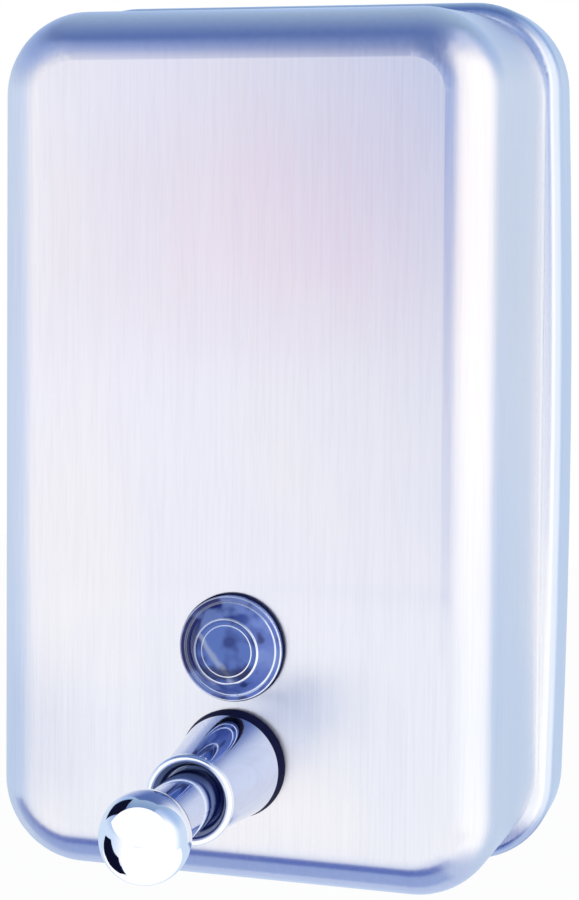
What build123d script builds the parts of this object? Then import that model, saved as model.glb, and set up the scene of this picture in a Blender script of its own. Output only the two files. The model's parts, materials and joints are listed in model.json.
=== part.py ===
from build123d import *
import os
from math import cos, radians, sin, sqrt, tan

# Wall mounted soap dispenser with a welded sheet tank, a sight window and a push valve.
# Millimetres. The wall is the plane Y = 0 and the front faces -Y. +Z is up.
# The origin is the middle of the wall bracket's screw pattern.

# Tank: two deep drawn pans of sheet steel, lap welded at the shoulder.
SHEET = 0.9
BODY_DEPTH = 67.5
FRONT_WIDTH = 120.0
FRONT_HEIGHT = 200.0
FRONT_DEPTH = 51.3
CORNER_RADIUS = 21.0
FRONT_FILLET = 11.7
DRAFT = 2.37
SIDE_STEP = 2.6
TOP_STEP = 2.4
BOTTOM_STEP = 2.8
SHOULDER_RADIUS = 3.1
SIDE_CROWN = 2.0
BACK_EDGE_RADIUS = 2.0
LAP = 4.0
WELD_GAP = 0.1

# Wall bracket and the hangers that drop over its two hooks.
BRACKET_SHEET = 1.5
BRACKET_WIDTH = 60.0
BRACKET_BOTTOM = -42.0
BRACKET_TOP = 48.0
HOOK_REACH = 5.0
HOOK_HEIGHT = 12.0
BEND_RADIUS = 0.6
SCREW_HOLE_RADIUS = 2.6
SCREW_SPACING_X = 40.0
SCREW_SPACING_Z = 36.0
HANGER_SHEET = 1.2
HANGER_WIDTH = 50.0
HANGER_GAP = 0.2
HANGER_LIFT = 0.3
HANGER_DROP = 10.0
HANGER_FLANGE = 11.0
POCKET_DEPTH = 7.0
POCKET_MARGIN = 5.0
LIFT_OFF = 12.0
POCKET_CORNER = 8.0
POCKET_ROUND = 2.0

# Filler opening in the top wall: a pressed frame, a flush lid, its hinge and its lock.
FRAME_SIDE_MARGIN = 1.0
FRAME_END_MARGIN = 0.6
FRAME_WALL = 1.0
FRAME_CORNER = 6.0
LEDGE = 5.0
LEDGE_SHEET = 1.2
HINGE_LEDGE = 11.4
LID_SHEET = 1.0
LID_GAP = 0.35
GASKET_HEIGHT = 1.6
GASKET_WIDTH = 3.0
GASKET_INSET = 0.8
SEAT_GAP = 0.05
HINGE_LENGTH = 40.0
KNUCKLE_LENGTH = 16.0
KNUCKLE_RADIUS = 1.5
KNUCKLE_GAP = 0.2
HINGE_SHEET = 0.8
HINGE_PIN_RADIUS = 0.75
LOCK_RADIUS = 5.4
LOCK_FLANGE = 1.6
PLUG_RADIUS = 3.5
KEY_SLOT = (4.2, 0.9)
KEY_SLOT_DEPTH = 1.2
CAM_SHEET = 1.5
CAM_WIDTH = 8.0
CAM_CATCH = 3.8
CAM_GAP = 0.4
CAM_SCREW_RADIUS = 2.6
CAM_SCREW_HEIGHT = 1.5

# Sight window: a clear flanged plug, gaskets on both faces of the panel and a nut.
WINDOW_VALVE_GAP = 2.2
WINDOW_RADIUS = 11.8
WINDOW_GASKET = 1.2
WINDOW_GASKET_LIP = 0.2
WINDOW_RIM = 1.1
WINDOW_RIM_WIDTH = 1.2
WINDOW_VALLEY_RADIUS = 10.3
WINDOW_VALLEY = 0.7
WINDOW_FACE_RADIUS = 7.3
WINDOW_FACE = 4.4
WINDOW_DISH = 0.4
WINDOW_EDGE_ROUND = 0.25
WINDOW_SHANK_RADIUS = 8.2
WINDOW_SHANK_LENGTH = 12.0
WINDOW_WALL = 1.8
WINDOW_NUT_ACROSS = 21.0
WINDOW_NUT_HEIGHT = 4.6
NUT_CHAMFER = 0.8

# Push valve, on an axis square to the front panel.
VALVE_EDGE_GAP = 6.3
VALVE_GASKET = 3.6
VALVE_GASKET_RADIUS = 12.2
SLEEVE_BASE_RADIUS = 11.6
SLEEVE_NECK_RADIUS = 8.8
SLEEVE_LENGTH = 25.6
LIP_RADIUS = 9.6
LIP_ROUND = 1.4
LIP_EDGE = 0.8
BOWL_DEPTH = 2.6
MOUTH_GAP = 0.4
MOUTH_DEPTH = 4.0
GUIDE_LENGTH = 7.0
SLEEVE_FLOOR = 2.0
SHANK_RADIUS = 7.5
SHANK_LENGTH = 14.0
WIPER_HEIGHT = 2.0
WIPER_WIDTH = 1.2
STEM_RADIUS = 6.25
STEM_REACH = 21.1
STEM_SHOULDER = 20.0
ROD_RADIUS = 3.6
DUCT_RADIUS = 2.4
SPOUT_RADIUS = 1.6
SPOUT_BACK = 5.0
STROKE = 12.0
KNOB_RADIUS = 9.3
KNOB_SETBACK = 5.6
KNOB_SPIGOT_RADIUS = 4.0
KNOB_SPIGOT_LENGTH = 6.0

# Pump behind the panel: nut, cylinder, piston, springs and ball valves.
INNER_GASKET = 1.5
INNER_GASKET_WIDTH = 3.6
WASHER_SHEET = 1.0
VALVE_NUT_ACROSS = 22.0
VALVE_NUT_HEIGHT = 5.0
CYLINDER_BORE = 6.95
CYLINDER_WALL = 1.65
CYLINDER_SOCKET = 4.6
CHAMBER_SPARE = 3.9
PISTON_LENGTH = 6.0
PISTON_GAP = 0.1
PISTON_FLOOR = 2.0
SEAL_HEIGHT = 2.2
SEAL_DEPTH = 1.3
RUNNING_GAP = 0.06
HOLE_GAP = 0.2
SPRING_WIRE = 0.9
SPRING_TURNS = 5
OUTLET_BALL_RADIUS = 2.0
OUTLET_SEAT_RADIUS = 1.3
OUTLET_LIFT = 1.5
OUTLET_SPRING_LENGTH = 7.0
OUTLET_SPRING_WIRE = 0.35
OUTLET_SPRING_TURNS = 4
DUCT_STEP = 0.7
PLUG_LENGTH = 4.8
FLANGE_SHEET = 1.5
INLET_RADIUS = 5.0
INLET_OFFSET = 7.6
INLET_PORT_RADIUS = 2.2
INLET_BALL_RADIUS = 3.0
INLET_BALL_GAP = 0.6
INLET_SEAT_RADIUS = 2.0
INLET_SEAT_DROP = 4.0
INLET_SEAT_WALL = 6.0
INLET_LIFT = 2.0
INLET_CAP_THREAD = 3.4
INLET_CAP_HEIGHT = 2.0
NIPPLE_RADIUS = 3.0
NIPPLE_LENGTH = 7.0
TUBE_WALL = 1.15
TUBE_FLOOR_GAP = 3.5

# Planes and places that follow from the sizes above.
PANEL_Y = -BODY_DEPTH
SEAM_Y = PANEL_Y + FRONT_DEPTH
SLOPE = radians(DRAFT)
VALVE_Z = -FRONT_HEIGHT / 2 + FRONT_FILLET + VALVE_GASKET_RADIUS + VALVE_EDGE_GAP
WINDOW_Z = VALVE_Z + VALVE_GASKET_RADIUS + WINDOW_RADIUS + WINDOW_VALVE_GAP
FRAME_WIDTH = FRONT_WIDTH - 2 * (CORNER_RADIUS + FRAME_SIDE_MARGIN)
FRAME_DEPTH = FRONT_DEPTH - FRONT_FILLET - LAP - 2 * FRAME_END_MARGIN
FRAME_Y = SEAM_Y - LAP - FRAME_END_MARGIN - FRAME_DEPTH / 2
FRAME_Z = FRONT_HEIGHT / 2 - (SEAM_Y - FRAME_Y) * tan(SLOPE)
TOP_PLANE = Plane(origin=(0, FRAME_Y, FRAME_Z), x_dir=(1, 0, 0), z_dir=(0, -sin(SLOPE), cos(SLOPE)))
RECESS_FRONT = -FRAME_DEPTH / 2 + FRAME_WALL
RECESS_BACK = -RECESS_FRONT
LEDGE_TOP = -LID_SHEET - GASKET_HEIGHT
LEDGE_BOTTOM = LEDGE_TOP - LEDGE_SHEET
MOUTH_FRONT = RECESS_FRONT + LEDGE
MOUTH_BACK = RECESS_BACK - HINGE_LEDGE
MOUTH_WIDTH = FRAME_WIDTH - 2 * (FRAME_WALL + LEDGE)
HINGE_V = RECESS_BACK - KNUCKLE_RADIUS - 2 * KNUCKLE_GAP
HINGE_N = -LID_SHEET
LOCK_V = (MOUTH_FRONT + MOUTH_BACK) / 2
CAM_TOP = LEDGE_BOTTOM - CAM_GAP
SHANK_END = -SHANK_LENGTH
LIP_W = VALVE_GASKET + SLEEVE_LENGTH + LIP_ROUND
LIP_FRONT = LIP_W + LIP_EDGE
GUIDE_FRONT = LIP_W - MOUTH_DEPTH
GUIDE_BACK = GUIDE_FRONT - GUIDE_LENGTH
STEM_FRONT = LIP_FRONT + STEM_REACH
PISTON_FRONT = SHANK_END - PISTON_GAP
PISTON_BACK = PISTON_FRONT - PISTON_LENGTH
BALL_SEAT_W = PISTON_BACK + PISTON_FLOOR
CHAMBER_END = PISTON_BACK - STROKE - CHAMBER_SPARE
INLET_W = CHAMBER_END - PLUG_LENGTH - FLANGE_SHEET - INLET_OFFSET
INLET_BORE = INLET_BALL_RADIUS + INLET_BALL_GAP
INLET_SEAT_Z = VALVE_Z - INLET_SEAT_DROP
TANK_FLOOR_Z = -FRONT_HEIGHT / 2 + 2 * SHEET + WELD_GAP


def facing_wall(y, z=0.0):
    """Upright plane at depth y whose outward side is the front."""
    return Plane(origin=(0, y, z), x_dir=(1, 0, 0), z_dir=(0, -1, 0))


def turned(z, points, rounds=()):
    """Solid turned about an axis square to the panel; points are (radius, distance out of the panel)."""
    face = make_face(Polyline(*[(radius, -out) for radius, out in points], close=True))
    for index, size in rounds:
        corner = (points[index][0], -points[index][1], 0)
        face = fillet(face.vertices().sort_by_distance(corner)[:1], size)
    plane = Plane(origin=(0, PANEL_Y, z), x_dir=(1, 0, 0), z_dir=(0, 0, 1))
    return revolve(plane * face, axis=Axis((0, PANEL_Y, z), (0, 1, 0)))


def ring(z, inner, outer, back, front):
    """Plain turned ring between two distances out of the panel."""
    return turned(z, [(inner, back), (outer, back), (outer, front), (inner, front)])


def rod(z, radius, back, front):
    """Plain turned rod between two distances out of the panel."""
    return turned(z, [(0, back), (radius, back), (radius, front), (0, front)])


def upright_rod(radius, out, bottom, top):
    """Vertical rod that stands at a distance out of the panel."""
    return extrude(Plane(origin=(0, PANEL_Y - out, bottom)) * Circle(radius), amount=top - bottom)


def hex_nut(z, across, bore, back, front):
    """Six-sided nut on an axis square to the panel, with its far corners chamfered."""
    sides = RegularPolygon(across / 2, 6, major_radius=False)
    blank = extrude(facing_wall(PANEL_Y - back, z) * sides, amount=front - back)
    corner = across / sqrt(3)
    points = [
        (bore, back),
        (across / 2, back),
        (corner, back + NUT_CHAMFER),
        (corner, front),
        (bore, front),
    ]
    return blank & turned(z, points)


def coil(z, mean_radius, wire, turns, back, front):
    """Open coil spring between two distances out of the panel; the wire is six-sided to stay light."""
    height = front - back - wire
    start = (0, PANEL_Y - back - wire / 2, z)
    path = Helix(height / turns, height, mean_radius, center=start, direction=(0, -1, 0))
    section = Plane(origin=path @ 0, z_dir=path % 0) * RegularPolygon(wire / 2, 6)
    return sweep(section, path=path, is_frenet=True)


def on_top(width, front, back, low, high, corner):
    """Rounded block in the sloping plane of the tank's top wall; heights are measured square to that wall."""
    outline = Pos(0, (front + back) / 2) * RectangleRounded(width, back - front, corner)
    return extrude(TOP_PLANE.offset(low) * outline, amount=high - low)


def top_post(radius, low, high, v=0.0):
    """Round post square to the top wall."""
    return extrude(TOP_PLANE.offset(low) * Pos(0, v) * Circle(radius), amount=high - low)


def hinge_rod(radius, left, right):
    """Rod along the lid's hinge axis."""
    start = TOP_PLANE.from_local_coords((left, HINGE_V, HINGE_N))
    return extrude(Plane(origin=start, z_dir=(1, 0, 0)) * Circle(radius), amount=right - left)


def drawn_front(inset):
    """The front pan's form, taken in by inset on every wall."""
    outline = RectangleRounded(FRONT_WIDTH - 2 * inset, FRONT_HEIGHT - 2 * inset, CORNER_RADIUS - inset)
    form = extrude(facing_wall(SEAM_Y) * outline, amount=FRONT_DEPTH - inset, taper=DRAFT)
    return fillet(form.faces().sort_by(Axis.Y)[0].edges(), FRONT_FILLET - inset)


def front_pan():
    """Deep drawn front with the window hole, the valve hole and the filler cut-out."""
    cutout = on_top(FRAME_WIDTH + WELD_GAP, -FRAME_DEPTH / 2 - WELD_GAP / 2, FRAME_DEPTH / 2 + WELD_GAP / 2,
                    LEDGE_BOTTOM, FRONT_FILLET, FRAME_CORNER + WELD_GAP / 2)
    window_hole = rod(WINDOW_Z, WINDOW_SHANK_RADIUS + HOLE_GAP, -2 * SHEET, SHEET)
    valve_hole = rod(VALVE_Z, SHANK_RADIUS + HOLE_GAP, -2 * SHEET, SHEET)
    return drawn_front(0) - drawn_front(SHEET) - cutout - window_hole - valve_hole


def crowned_outline(width, height, corner):
    """Rounded rectangle whose upright sides bow outwards."""
    right, top = width / 2, height / 2
    bow = right + SIDE_CROWN
    edges = [
        ThreePointArc((right, -top), (bow, 0), (right, top)),
        Line((right, top), (-right, top)),
        ThreePointArc((-right, top), (-bow, 0), (-right, -top)),
        Line((-right, -top), (right, -top)),
    ]
    face = make_face(edges)
    return fillet(face.vertices(), corner)


def drawn_rear(inset):
    """The rear pan's form behind the seam, taken in by inset on every wall."""
    width = FRONT_WIDTH + 2 * (SIDE_STEP - inset)
    height = FRONT_HEIGHT + TOP_STEP + BOTTOM_STEP - 2 * inset
    outline = Pos(0, (TOP_STEP - BOTTOM_STEP) / 2) * crowned_outline(width, height, CORNER_RADIUS - inset)
    depth = -SEAM_Y - WELD_GAP - 2 * inset
    form = extrude(facing_wall(-inset) * outline, amount=depth)
    form = fillet(form.faces().sort_by(Axis.Y)[0].edges(), SHOULDER_RADIUS - inset)
    return fillet(form.faces().sort_by(Axis.Y)[-1].edges(), BACK_EDGE_RADIUS - inset)


def lap_lip(inset):
    """The neck of the rear pan that slips into the front pan."""
    shrink = 2 * (SHEET + WELD_GAP + inset)
    outline = RectangleRounded(FRONT_WIDTH - shrink, FRONT_HEIGHT - shrink, CORNER_RADIUS - shrink / 2)
    neck = extrude(facing_wall(SEAM_Y) * outline, amount=LAP, taper=DRAFT)
    root = extrude(facing_wall(SEAM_Y) * outline, amount=-SHOULDER_RADIUS)
    return neck + root


def pocket(inset, depth):
    """Recess in the tank's back that hides the wall bracket."""
    top = BRACKET_TOP + HOOK_HEIGHT + HANGER_FLANGE + POCKET_MARGIN + inset
    bottom = BRACKET_BOTTOM - LIFT_OFF - inset
    width = BRACKET_WIDTH + 2 * (POCKET_MARGIN + inset)
    outline = RectangleRounded(width, top - bottom, POCKET_CORNER + inset)
    form = extrude(facing_wall(0, (top + bottom) / 2) * outline, amount=depth)
    return fillet(form.faces().sort_by(Axis.Y)[0].edges(), POCKET_ROUND + inset)


def rear_pan():
    """Shallow rear pan with a rounded shoulder, a lap neck and a pocket in its back."""
    shell = drawn_rear(0) + lap_lip(0) - drawn_rear(SHEET) - lap_lip(SHEET)
    return shell + pocket(SHEET, POCKET_DEPTH + SHEET) - pocket(0, POCKET_DEPTH)


def bent_strip(middle, sheet, width):
    """Sheet strip bent along a line of (depth, height) points through its thickness, with rounded bends."""
    line = FilletPolyline(*middle, radius=BEND_RADIUS + sheet / 2)
    return extrude(Plane.YZ * trace(line, sheet), amount=width / 2, both=True)


def wall_bracket():
    """Plate on the wall with an upturned hook at each end and four screw holes."""
    half = BRACKET_SHEET / 2
    plate, hook = -half, half - HOOK_REACH
    low, high = BRACKET_BOTTOM + half, BRACKET_TOP - half
    middle = [
        (hook, BRACKET_BOTTOM + HOOK_HEIGHT),
        (hook, low),
        (plate, low),
        (plate, high),
        (hook, high),
        (hook, BRACKET_TOP + HOOK_HEIGHT),
    ]
    holes = Sketch() + GridLocations(SCREW_SPACING_X, SCREW_SPACING_Z, 2, 2) * Circle(SCREW_HOLE_RADIUS)
    plate_solid = bent_strip(middle, BRACKET_SHEET, BRACKET_WIDTH)
    return plate_solid - extrude(facing_wall(0) * holes, amount=HOOK_REACH, both=True)


def hanger(hook_top):
    """Strip welded to the pocket floor that drops over a bracket hook."""
    half = HANGER_SHEET / 2
    lip = BRACKET_SHEET - HOOK_REACH + HANGER_GAP + half
    seat = hook_top + HANGER_LIFT + half
    middle = [
        (lip, seat - HANGER_DROP),
        (lip, seat),
        (half - POCKET_DEPTH, seat),
        (half - POCKET_DEPTH, seat + HANGER_FLANGE),
    ]
    return bent_strip(middle, HANGER_SHEET, HANGER_WIDTH)


def filler_frame():
    """Pressed tray in the top wall: a rim flush with the tank and a ledge round the filler mouth."""
    tray = on_top(FRAME_WIDTH, -FRAME_DEPTH / 2, FRAME_DEPTH / 2, LEDGE_BOTTOM, 0, FRAME_CORNER)
    recess = on_top(FRAME_WIDTH - 2 * FRAME_WALL, RECESS_FRONT, RECESS_BACK, LEDGE_TOP, FRAME_WALL,
                    FRAME_CORNER - FRAME_WALL)
    mouth = on_top(MOUTH_WIDTH, MOUTH_FRONT, MOUTH_BACK, 2 * LEDGE_BOTTOM, 0, FRAME_CORNER / 2)
    return tray - recess - mouth


def filler_lid():
    """Flush lid plate with the lock's hole."""
    width = FRAME_WIDTH - 2 * (FRAME_WALL + LID_GAP)
    back = HINGE_V - KNUCKLE_RADIUS - KNUCKLE_GAP
    plate = on_top(width, RECESS_FRONT + LID_GAP, back, -LID_SHEET, 0, FRAME_CORNER - FRAME_WALL - LID_GAP)
    return plate - top_post(LOCK_RADIUS + SEAT_GAP, -2 * LID_SHEET, LID_SHEET, LOCK_V)


def lid_gasket():
    """Rubber frame under the lid that presses on the ledge."""
    low = LEDGE_TOP + SEAT_GAP
    front, back = MOUTH_FRONT - GASKET_INSET, MOUTH_BACK + GASKET_INSET
    inner_width = MOUTH_WIDTH + 2 * GASKET_INSET
    outer = on_top(inner_width + 2 * GASKET_WIDTH, front - GASKET_WIDTH, back + GASKET_WIDTH, low, -LID_SHEET,
                   FRAME_CORNER / 2 + GASKET_WIDTH)
    inner = on_top(inner_width, front, back, low, -LID_SHEET, FRAME_CORNER / 2)
    return outer - inner


LEAF_FRONT = MOUTH_BACK + GASKET_INSET + GASKET_WIDTH + KNUCKLE_GAP
LEAF_BACK = HINGE_V - KNUCKLE_RADIUS - KNUCKLE_GAP


def flat_block(left, right, front, back, low, high):
    """Plain block in the plane of the top wall."""
    outline = Pos((left + right) / 2, (front + back) / 2) * Rectangle(right - left, back - front)
    return extrude(TOP_PLANE.offset(low) * outline, amount=high - low)


def lid_hinge_leaf():
    """Hinge leaf under the lid with the middle knuckle."""
    half, knuckle = HINGE_LENGTH / 2, KNUCKLE_LENGTH / 2
    leaf = flat_block(-half, half, LEAF_FRONT, LEAF_BACK, -LID_SHEET - HINGE_SHEET, -LID_SHEET)
    tongue = flat_block(-knuckle, knuckle, LEAF_BACK, HINGE_V, -LID_SHEET - HINGE_SHEET, -LID_SHEET)
    barrel = hinge_rod(KNUCKLE_RADIUS, -knuckle, knuckle)
    bore = hinge_rod(HINGE_PIN_RADIUS + RUNNING_GAP, -half, half)
    return leaf + tongue + barrel - bore


def tank_hinge_leaf():
    """Hinge leaf on the ledge with the two outer knuckles."""
    half, knuckle = HINGE_LENGTH / 2, KNUCKLE_LENGTH / 2 + KNUCKLE_GAP
    high = -LID_SHEET - HINGE_SHEET - SEAT_GAP
    leaf = flat_block(-half, half, LEAF_FRONT, LEAF_BACK, LEDGE_TOP, high)
    for left, right in ((-half, -knuckle), (knuckle, half)):
        ear = flat_block(left, right, LEAF_BACK, RECESS_BACK - KNUCKLE_GAP, LEDGE_TOP, high)
        leaf = leaf + ear + hinge_rod(KNUCKLE_RADIUS, left, right)
    return leaf - hinge_rod(HINGE_PIN_RADIUS + RUNNING_GAP, -HINGE_LENGTH, HINGE_LENGTH)


def hinge_pin():
    """Plain pin through all three knuckles."""
    return hinge_rod(HINGE_PIN_RADIUS, -HINGE_LENGTH / 2, HINGE_LENGTH / 2)


def lock_body():
    """Lock housing, flush in the lid and held by a flange under it."""
    barrel = top_post(LOCK_RADIUS, CAM_TOP + CAM_GAP / 2, -SEAT_GAP, LOCK_V)
    flange = top_post(LOCK_RADIUS + LOCK_FLANGE, -2 * LID_SHEET, -LID_SHEET, LOCK_V)
    bore = top_post(PLUG_RADIUS + RUNNING_GAP, 2 * CAM_TOP, LID_SHEET, LOCK_V)
    return barrel + flange - bore


def lock_plug():
    """Turning plug with a key slot."""
    plug = top_post(PLUG_RADIUS, CAM_TOP, -2 * SEAT_GAP, LOCK_V)
    slot = Pos(0, LOCK_V) * SlotOverall(*KEY_SLOT)
    return plug - extrude(TOP_PLANE.offset(-KEY_SLOT_DEPTH) * slot, amount=2 * KEY_SLOT_DEPTH)


def lock_cam():
    """Flat cam that turns under the front ledge."""
    reach = LOCK_V - MOUTH_FRONT + CAM_CATCH
    arm = Pos(reach / 2, LOCK_V) * SlotOverall(reach + CAM_WIDTH, CAM_WIDTH)
    reach_limit = Pos(reach / 2, LOCK_V) * Rectangle(reach, CAM_WIDTH)
    hub = Pos(0, LOCK_V) * Circle(CAM_WIDTH / 2)
    plate = arm & (reach_limit + hub)
    return extrude(TOP_PLANE.offset(CAM_TOP - CAM_SHEET) * plate, amount=CAM_SHEET)


def cam_screw():
    """Screw head that holds the cam on the plug."""
    high = CAM_TOP - CAM_SHEET
    head = top_post(CAM_SCREW_RADIUS, high - CAM_SCREW_HEIGHT, high, LOCK_V)
    slot = Pos(0, LOCK_V) * Rectangle(2 * CAM_SCREW_RADIUS, CAM_SCREW_HEIGHT / 2)
    return head - extrude(TOP_PLANE.offset(high - CAM_SCREW_HEIGHT) * slot, amount=CAM_SCREW_HEIGHT / 2)


def sight_window():
    """Clear plug: a flat rim, a small step, a cone up to a dished face and a hollow shank."""
    seat = WINDOW_GASKET
    face = seat + WINDOW_FACE
    dish = WINDOW_FACE_RADIUS - WINDOW_DISH
    bore = WINDOW_SHANK_RADIUS - WINDOW_WALL
    points = [
        (0, face - WINDOW_DISH - WINDOW_WALL),
        (bore, face - WINDOW_DISH - WINDOW_WALL),
        (bore, -WINDOW_SHANK_LENGTH),
        (WINDOW_SHANK_RADIUS, -WINDOW_SHANK_LENGTH),
        (WINDOW_SHANK_RADIUS, seat),
        (WINDOW_RADIUS, seat),
        (WINDOW_RADIUS, seat + WINDOW_RIM),
        (WINDOW_RADIUS - WINDOW_RIM_WIDTH, seat + WINDOW_RIM),
        (WINDOW_VALLEY_RADIUS, seat + WINDOW_VALLEY),
        (WINDOW_FACE_RADIUS, face),
        (dish, face),
        (dish, face - WINDOW_DISH),
        (0, face - WINDOW_DISH),
    ]
    return turned(WINDOW_Z, points, [(edge, WINDOW_EDGE_ROUND) for edge in (6, 7, 9)])


def valve_sleeve():
    """Chrome cone with a rolled lip round a bowl, a guide for the stem and a shank through the panel."""
    mouth = STEM_RADIUS + MOUTH_GAP
    bowl = LIP_RADIUS - 2 * LIP_EDGE
    guide = STEM_RADIUS + RUNNING_GAP
    cavity = STEM_RADIUS + WIPER_WIDTH / 2
    groove = STEM_RADIUS + WIPER_WIDTH + RUNNING_GAP
    groove_back = GUIDE_BACK + (GUIDE_LENGTH - WIPER_HEIGHT) / 2
    groove_front = groove_back + WIPER_HEIGHT
    rod_bore = ROD_RADIUS + RUNNING_GAP
    outside = [
        Line((rod_bore, -SHANK_END), (SHANK_RADIUS, -SHANK_END)),
        Line((SHANK_RADIUS, -SHANK_END), (SHANK_RADIUS, -VALVE_GASKET)),
        Line((SHANK_RADIUS, -VALVE_GASKET), (SLEEVE_BASE_RADIUS, -VALVE_GASKET)),
        Line((SLEEVE_BASE_RADIUS, -VALVE_GASKET), (SLEEVE_NECK_RADIUS, LIP_ROUND - LIP_W)),
        Line((SLEEVE_NECK_RADIUS, LIP_ROUND - LIP_W), (LIP_RADIUS, LIP_ROUND / 2 - LIP_W)),
        Line((LIP_RADIUS, LIP_ROUND / 2 - LIP_W), (LIP_RADIUS, -LIP_W)),
        ThreePointArc((LIP_RADIUS, -LIP_W), (LIP_RADIUS - LIP_EDGE, -LIP_FRONT), (bowl, -LIP_W)),
    ]
    inside = [
        (bowl, -LIP_W),
        (mouth, BOWL_DEPTH - LIP_W),
        (mouth, -GUIDE_FRONT),
        (guide, -GUIDE_FRONT),
        (guide, -groove_front),
        (groove, -groove_front),
        (groove, -groove_back),
        (guide, -groove_back),
        (guide, -GUIDE_BACK),
        (cavity, -GUIDE_BACK),
        (cavity, -SLEEVE_FLOOR),
        (rod_bore, -SLEEVE_FLOOR),
        (rod_bore, -SHANK_END),
    ]
    face = make_face(outside + [Polyline(*inside)])
    plane = Plane(origin=(0, PANEL_Y, VALVE_Z), x_dir=(1, 0, 0), z_dir=(0, 0, 1))
    return revolve(plane * face, axis=Axis((0, PANEL_Y, VALVE_Z), (0, 1, 0)))


def valve_gasket():
    """Tapered rubber ring between the panel and the cone."""
    bore = SHANK_RADIUS + HOLE_GAP
    points = [
        (bore, 0),
        (VALVE_GASKET_RADIUS, 0),
        (SLEEVE_BASE_RADIUS, VALVE_GASKET),
        (bore, VALVE_GASKET),
    ]
    return turned(VALVE_Z, points)


def stem_wiper():
    """Rubber ring in the guide that wipes the stem."""
    back = GUIDE_BACK + (GUIDE_LENGTH - WIPER_HEIGHT) / 2 + SEAT_GAP
    front = back + WIPER_HEIGHT - 2 * SEAT_GAP
    return ring(VALVE_Z, STEM_RADIUS + RUNNING_GAP / 2, STEM_RADIUS + WIPER_WIDTH, back, front)


def push_stem():
    """Thick chrome stem with a thin piston rod, a soap duct and a spout hole under its front end."""
    end = BALL_SEAT_W + SEAT_GAP
    spring_step = BALL_SEAT_W + 2 * OUTLET_BALL_RADIUS + OUTLET_SPRING_LENGTH
    spout_w = STEM_FRONT - SPOUT_BACK
    points = [
        (0, end),
        (ROD_RADIUS, end),
        (ROD_RADIUS, STEM_SHOULDER),
        (STEM_RADIUS, STEM_SHOULDER),
        (STEM_RADIUS, STEM_FRONT),
        (KNOB_SPIGOT_RADIUS, STEM_FRONT),
        (KNOB_SPIGOT_RADIUS, STEM_FRONT + KNOB_SPIGOT_LENGTH),
        (0, STEM_FRONT + KNOB_SPIGOT_LENGTH),
    ]
    duct = rod(VALVE_Z, DUCT_RADIUS, end - SEAT_GAP, spring_step)
    narrow = rod(VALVE_Z, DUCT_RADIUS - DUCT_STEP, end, spout_w)
    spout = upright_rod(SPOUT_RADIUS, spout_w, VALVE_Z - 2 * STEM_RADIUS, VALVE_Z)
    return turned(VALVE_Z, points) - duct - narrow - spout


def push_knob():
    """Chrome ball knob, cut flat where it meets the stem."""
    back, middle = STEM_FRONT, STEM_FRONT + KNOB_SETBACK
    front = middle + KNOB_RADIUS
    bore = KNOB_SPIGOT_RADIUS + SEAT_GAP
    bore_end = back + KNOB_SPIGOT_LENGTH + SEAT_GAP
    back_radius = sqrt(KNOB_RADIUS ** 2 - KNOB_SETBACK ** 2)
    edges = [
        Polyline((0, -bore_end), (bore, -bore_end), (bore, -back), (back_radius, -back)),
        ThreePointArc((back_radius, -back), (KNOB_RADIUS, -middle), (0, -front)),
        Line((0, -front), (0, -bore_end)),
    ]
    plane = Plane(origin=(0, PANEL_Y, VALVE_Z), x_dir=(1, 0, 0), z_dir=(0, 0, 1))
    return revolve(plane * make_face(edges), axis=Axis((0, PANEL_Y, VALVE_Z), (0, 1, 0)))


def piston():
    """Grooved piston on the rod's end, with the outlet valve's seat."""
    radius = CYLINDER_BORE - PISTON_GAP
    groove = radius - SEAL_DEPTH
    groove_back = (PISTON_FRONT + PISTON_BACK - SEAL_HEIGHT) / 2
    body = ring(VALVE_Z, ROD_RADIUS + SEAT_GAP, radius, BALL_SEAT_W, PISTON_FRONT)
    floor = ring(VALVE_Z, OUTLET_SEAT_RADIUS, radius, PISTON_BACK, BALL_SEAT_W)
    return body + floor - ring(VALVE_Z, groove, 2 * radius, groove_back, groove_back + SEAL_HEIGHT)


def piston_seal():
    """Rubber ring in the piston's groove."""
    back = (PISTON_FRONT + PISTON_BACK - SEAL_HEIGHT) / 2 + SEAT_GAP
    inner = CYLINDER_BORE - PISTON_GAP - SEAL_DEPTH + SEAT_GAP
    return ring(VALVE_Z, inner, CYLINDER_BORE - RUNNING_GAP / 2, back, back + SEAL_HEIGHT - 2 * SEAT_GAP)


def pump_cylinder():
    """Plastic cylinder screwed onto the shank, with a socket at each end."""
    socket = SHANK_RADIUS + SEAT_GAP
    outer = CYLINDER_BORE + CYLINDER_WALL
    front = SHANK_END + CYLINDER_SOCKET
    points = [
        (CYLINDER_BORE, CHAMBER_END),
        (socket, CHAMBER_END),
        (socket, CHAMBER_END - PLUG_LENGTH),
        (outer, CHAMBER_END - PLUG_LENGTH),
        (outer, front),
        (socket, front),
        (socket, SHANK_END),
        (CYLINDER_BORE, SHANK_END),
    ]
    return turned(VALVE_Z, points)


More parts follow.
